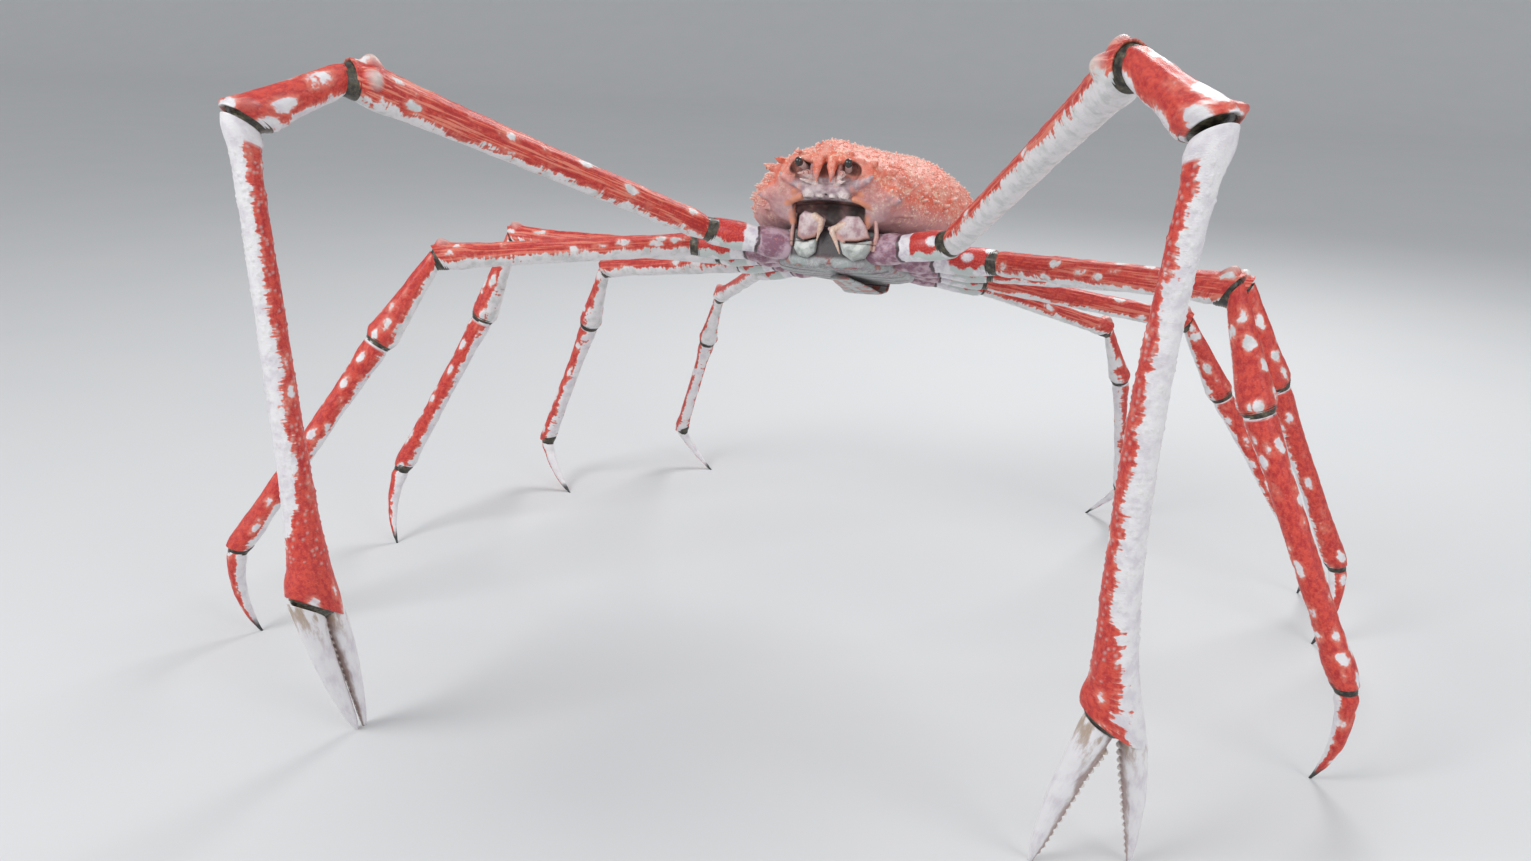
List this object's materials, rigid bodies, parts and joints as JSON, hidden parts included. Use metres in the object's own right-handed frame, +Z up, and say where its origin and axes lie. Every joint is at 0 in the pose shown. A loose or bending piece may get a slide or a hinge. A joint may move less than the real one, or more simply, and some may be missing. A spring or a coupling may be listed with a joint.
{
  "type": "japanese spider crab",
  "caption": "Life-size still model of a Japanese spider crab standing on its leg tips and claw tips, arms arched wide, the left claw open.",
  "frame": {"origin": "on the floor, under the middle of the crab's outline seen from above", "axes": "+Z up, the crab faces -Y and its left side is towards +X"},
  "size_m": [1.3272, 1.04, 0.7443],
  "materials": {
    "carapace": "salmon red shell, finely granular, with pale tubercles and cream spots, satin",
    "underside": "pale mauve and cream shell of the sternum, coxae and abdomen, satin",
    "limb_shell": "vermilion shell with white spots and a ragged white underside, satin",
    "claw_shell": "white and vermilion shell with rows of small white bumps, satin",
    "finger_shell": "ivory shell with brown stains along the cutting edges, satin",
    "eye": "glossy black",
    "mouthparts": "off-white and mauve shell with reddish edges, satin"
  },
  "bodies": {
    "root": {"abdomen": "underside", "antenna_left": "carapace", "antenna_right": "carapace", "carapace": "carapace", "eye_left": "eye", "eye_right": "eye", "left_1_base": "underside", "left_1_carpus": "limb_shell", "left_1_dactylus": "finger_shell", "left_1_merus": "limb_shell", "left_1_propodus": "claw_shell", "left_2_base": "underside", "left_2_carpus": "limb_shell", "left_2_dactylus": "limb_shell", "left_2_merus": "limb_shell", "left_2_propodus": "limb_shell", "left_3_base": "underside", "left_3_carpus": "limb_shell", "left_3_dactylus": "limb_shell", "left_3_merus": "limb_shell", "left_3_propodus": "limb_shell", "left_4_base": "underside", "left_4_carpus": "limb_shell", "left_4_dactylus": "limb_shell", "left_4_merus": "limb_shell", "left_4_propodus": "limb_shell", "left_5_base": "underside", "left_5_carpus": "limb_shell", "left_5_dactylus": "limb_shell", "left_5_merus": "limb_shell", "left_5_propodus": "limb_shell", "maxilliped_left": "mouthparts", "maxilliped_right": "mouthparts", "right_1_base": "underside", "right_1_carpus": "limb_shell", "right_1_dactylus": "finger_shell", "right_1_merus": "limb_shell", "right_1_propodus": "claw_shell", "right_2_base": "underside", "right_2_carpus": "limb_shell", "right_2_dactylus": "limb_shell", "right_2_merus": "limb_shell", "right_2_propodus": "limb_shell", "right_3_base": "underside", "right_3_carpus": "limb_shell", "right_3_dactylus": "limb_shell", "right_3_merus": "limb_shell", "right_3_propodus": "limb_shell", "right_4_base": "underside", "right_4_carpus": "limb_shell", "right_4_dactylus": "limb_shell", "right_4_merus": "limb_shell", "right_4_propodus": "limb_shell", "right_5_base": "underside", "right_5_carpus": "limb_shell", "right_5_dactylus": "limb_shell", "right_5_merus": "limb_shell", "right_5_propodus": "limb_shell", "sternum": "underside"}
  },
  "joints": []
}
